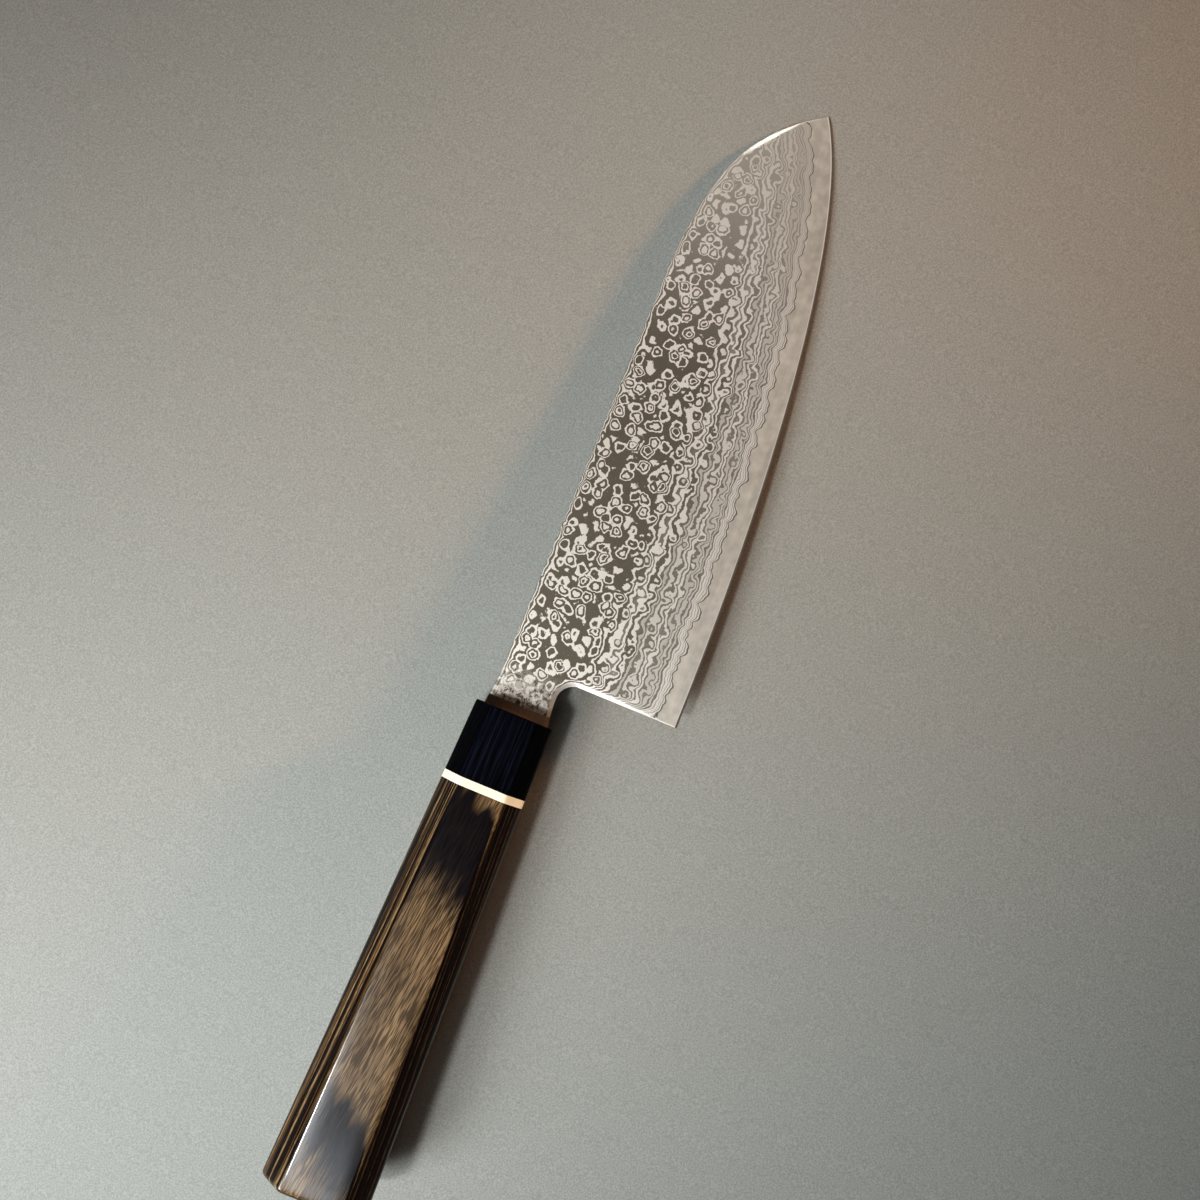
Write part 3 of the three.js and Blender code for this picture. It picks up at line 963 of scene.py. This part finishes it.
# %% Stained veneers
STACK = 1.72  # height of one set of veneers, in millimetres
STACK_START = 9.0  # height over the blade's plane where a charcoal veneer begins
VENEER_TILT = 0.016  # how much the stack leans towards the spine
GRAIN_SLANT = 0.12  # how much the fibres run across the handle
CHARCOAL = (0.0045, 0.0025, 0.003)
ASHEN = (0.009, 0.0055, 0.0055)
GOLD = (0.28, 0.185, 0.094)
UMBER = (0.022, 0.012, 0.006)
PITCH = (0.009, 0.004, 0.0018)
RUSSET = (0.085, 0.042, 0.014)
# painted light: the span across the handle over which the side stripes are painted lighter towards the lit
# left
LIT_SIDE_SPAN = (-7.0, 5.0)  # millimetres across the handle over which the stripes grow paler


def stained_veneers():
    material, spot = start_finish("stained_veneers")
    x, y, z = (spot.part(axis) for axis in range(3))
    slanted = spot.join(x, y + x * GRAIN_SLANT, z)
    flame = slanted.vector("MULTIPLY", (0.05, 0.25, 0.15)).noise(1.0, 2.0, 0.5)
    streak = slanted.vector("MULTIPLY", (0.08, 1.2, 0.8)).noise(1.0, 3.0, 0.6)
    fibre = slanted.vector("MULTIPLY", (0.15, 3.3, 3.3)).noise(1.0, 1.0, 0.9)
    ragged = (flame - 0.5) * 0.32 + (streak - 0.5) * 0.08 + (fibre - 0.5) * 0.10
    level = z + y * VENEER_TILT + ragged
    lamella = spot.join(x * 0.012, y * 0.08, level * 2.6).noise(1.0, 1.0, 0.7)
    turn = ((level - STACK_START) / STACK).maths("FRACT")
    thinner = (level - STACK_START).ramp(0.0, 2.0) * 0.12
    charcoal = (turn + thinner).ramp(0.47, 0.27) * turn.ramp(0.0, 0.06)
    cut_across = under_flat(spot).ramp(0.1, 0.5)
    crisp = fibre.ramp(0.45, 0.56)
    soft = (0.7 + lamella.ramp(0.32, 0.62) * 0.3) * (0.6 + flame.ramp(0.38, 0.60) * 0.4)
    soft = soft * (0.25 + crisp * 0.75) * (0.65 + streak * 0.6)
    # Painted light and shade: stripes and russet on the sides are painted paler on the left, where light
    # falls, and darker on the shaded right.
    painted_side_light = y.ramp(*LIT_SIDE_SPAN)
    thin = (lamella + painted_side_light * 0.02).ramp(0.53, 0.60) * (0.4 + crisp * 0.6) * (0.24 + painted_side_light * 0.76)
    rust = spot.join(x * 0.02, y * 0.05, level * 1.5).noise(1.0, 2.0, 0.6).ramp(0.42, 0.60)
    rust = rust * (0.12 + painted_side_light * 0.88)
    backing = cut_across.mix(tinted(UMBER), rust.mix(tinted(PITCH), tinted(RUSSET)))
    golden = soft + (thin - soft) * cut_across
    dyed = (crisp * (1.0 - cut_across)).mix(tinted(CHARCOAL), tinted(ASHEN))
    color = charcoal.mix(golden.mix(backing, tinted(GOLD)), dyed)
    rough = 0.17 + fibre * 0.13
    return end_finish(
        material, spot, (fibre, 0.009 * MM),
        Base_Color=color, Roughness=rough, Specular_IOR_Level=0.38, Coat_Weight=0.4, Coat_Roughness=0.1,
    )


clothe(body, stained_veneers())

# %% [markdown]
# ## Inside the handle
# The dowel is pale hardwood and the resin round the tang is clear amber. Nobody sees them in the whole
# knife, but the parts are kept with their own finishes for a reader who takes the model apart.

# %% Dowel and resin
PALE_WOOD = (0.62, 0.43, 0.24)
LATE_WOOD = (0.42, 0.26, 0.13)
AMBER = (0.62, 0.47, 0.22)
PALE_AMBER = (0.75, 0.66, 0.42)


def pale_wood():
    material, spot = start_finish("pale_wood")
    rings = spot.vector("MULTIPLY", (0.02, 1.0, 0.5)).noise(1.2, 3.0, 0.6)
    color = rings.ramp(0.35, 0.7).mix(tinted(PALE_WOOD), tinted(LATE_WOOD))
    return end_finish(material, spot, (rings, 0.03 * MM), Base_Color=color, Roughness=0.6 + rings * 0.2)


def amber_resin():
    material, spot = start_finish("amber_resin")
    cloud = spot.noise(0.4, 3.0, 0.6)
    color = cloud.mix(tinted(AMBER), tinted(PALE_AMBER))
    return end_finish(material, spot, (cloud, 0.02 * MM), Base_Color=color, Roughness=0.2 + cloud * 0.2)


clothe(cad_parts["dowel"], pale_wood())
clothe(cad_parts["tang_resin"], amber_resin())

# %% [markdown]
# ## Floor
# The knife is heavier in front, so on a table it tips until it rests on the lower front rim of the
# ferrule and on the blade near the tip. The frame must not move, so the floor leans instead: it turns
# about the ferrule's rim until it meets the first point of the blade. It is a round sheet, so that it has
# no corner to show in a low view.

# %% Floor
FLOOR_RADIUS = 0.55
FLOOR_CORNERS = 128
AIR = 0.02 * MM
RIM_DEPTH = 1.5 * MM  # how far back the ferrule's front rim reaches
PAST_NECK = 20 * MM  # the blade can only touch further out than this
SHEET = (0.228, 0.231, 0.209)
PALE_SHEET = (0.338, 0.341, 0.311)


def corners_of(piece):
    return np.array([vertex.co for vertex in piece.data.vertices])


rim = min((tuple(p) for p in corners_of(ferrule) if p[0] > origin.x - RIM_DEPTH), key=lambda p: p[2])
steel_points = np.concatenate([corners_of(piece) for piece in (core, left_cladding)])
ahead = steel_points[steel_points[:, 0] > origin.x + PAST_NECK]
lean = float(((ahead[:, 2] - rim[2]) / (ahead[:, 0] - rim[0])).min())
floor_mesh = bpy.data.meshes.new("floor")
turns = np.linspace(0.0, 2 * math.pi, FLOOR_CORNERS, endpoint=False)
sheet_rim = FLOOR_RADIUS * np.stack([np.cos(turns), np.sin(turns)], axis=1)
floor_points = [(x, y, rim[2] - AIR + lean * (x - rim[0])) for x, y in sheet_rim]
floor_mesh.from_pydata(floor_points, [], [tuple(range(FLOOR_CORNERS))])
floor = bpy.data.objects.new("floor", floor_mesh)
bpy.context.scene.collection.objects.link(floor)


def pale_sheet():
    material, spot = start_finish("pale_sheet")
    grain = spot.noise(2.3, 3.0, 0.7)
    color = grain.ramp(0.32, 0.68).mix(tinted(SHEET), tinted(PALE_SHEET))
    return end_finish(material, spot, (grain, 0.09 * MM), Base_Color=color, Roughness=0.6 + grain * 0.2)


clothe(floor, pale_sheet())
print("floor leans", round(math.degrees(math.atan(lean)), 2), "degrees")

# %% [markdown]
# ## Light
# Daylight comes from the lower left: a small key light throws the shadows to the right, and a wide window
# light brightens the floor beside the handle. A third light, from the foot of the picture, draws the
# sheen on the lacquer. A low warm lamp on the right tints the floor and leaves a bluish shadow beside the
# tip, and two small lights beyond the tip brighten the steel there. A grid in front of a lamp narrows its
# spread, so that each can be set without touching the rest. The warm lamp gives no highlights, or it
# would glare on the steel from behind. The look adds a little contrast, as a phone camera does.

# %% Light
ROOM_COLOR = (0.80, 0.86, 0.95)
ROOM_LIGHT = 0.03


def softbox(name, way, distance, size, power, color, aim, spread=180, shine=True):
    """A square light that looks at a place from the given way, through a grid that narrows its spread."""
    lamp = bpy.data.lights.new(name, "AREA")
    lamp.size = size
    half = math.radians(spread) / 2
    lamp.spread = half * 2
    lamp.energy = power * (1 - half / math.tan(half))
    lamp.color = color
    box = bpy.data.objects.new(name, lamp)
    target = place(*aim, 0.0)
    box.matrix_world = look(target + Vector(way).normalized() * distance, target, Vector((0.0, 0.0, 1.0)))
    box.visible_camera = False
    box.visible_glossy = shine
    bpy.context.scene.collection.objects.link(box)


softbox("key", (-0.45, 0.26, 0.85), 0.5, 0.061, 1.3, (0.98, 0.99, 1.0), (-20.0, 0.0))
softbox("window", (-0.70, 0.41, 0.59), 0.56, 0.3, 6.3, (0.92, 0.97, 1.0), (-95.0, 72.0), 66)
softbox("sheen", (-0.46, 0.05, 0.89), 1.2, 0.22, 1.0, (0.82, 0.91, 1.0), (-20.0, 0.0), 40)
softbox("warm_side", (0.50, -0.68, 0.26), 1.0, 0.15, 20.0, (1.0, 0.50, 0.22), (210.0, -110.0), 24, False)
softbox("tip_glow", (0.53, 0.10, 0.84), 0.6, 0.12, 0.17, (0.97, 0.98, 1.0), (160.0, 0.0), 32)
softbox("brow_glow", (0.70, 0.31, 0.64), 0.6, 0.06, 0.9, (1.0, 0.98, 0.95), (165.0, 0.0), 32)

world = bpy.data.worlds.new("room")
world.use_nodes = True
backdrop = world.node_tree.nodes["Background"]
backdrop.inputs["Color"].default_value = tinted(ROOM_COLOR)
backdrop.inputs["Strength"].default_value = ROOM_LIGHT
bpy.context.scene.world = world
bpy.context.scene.view_settings.view_transform = "Standard"
bpy.context.scene.view_settings.look = "Medium High Contrast"

# %% [markdown]
# ## Sizes
# The dressed knife must stay the size of its solids.
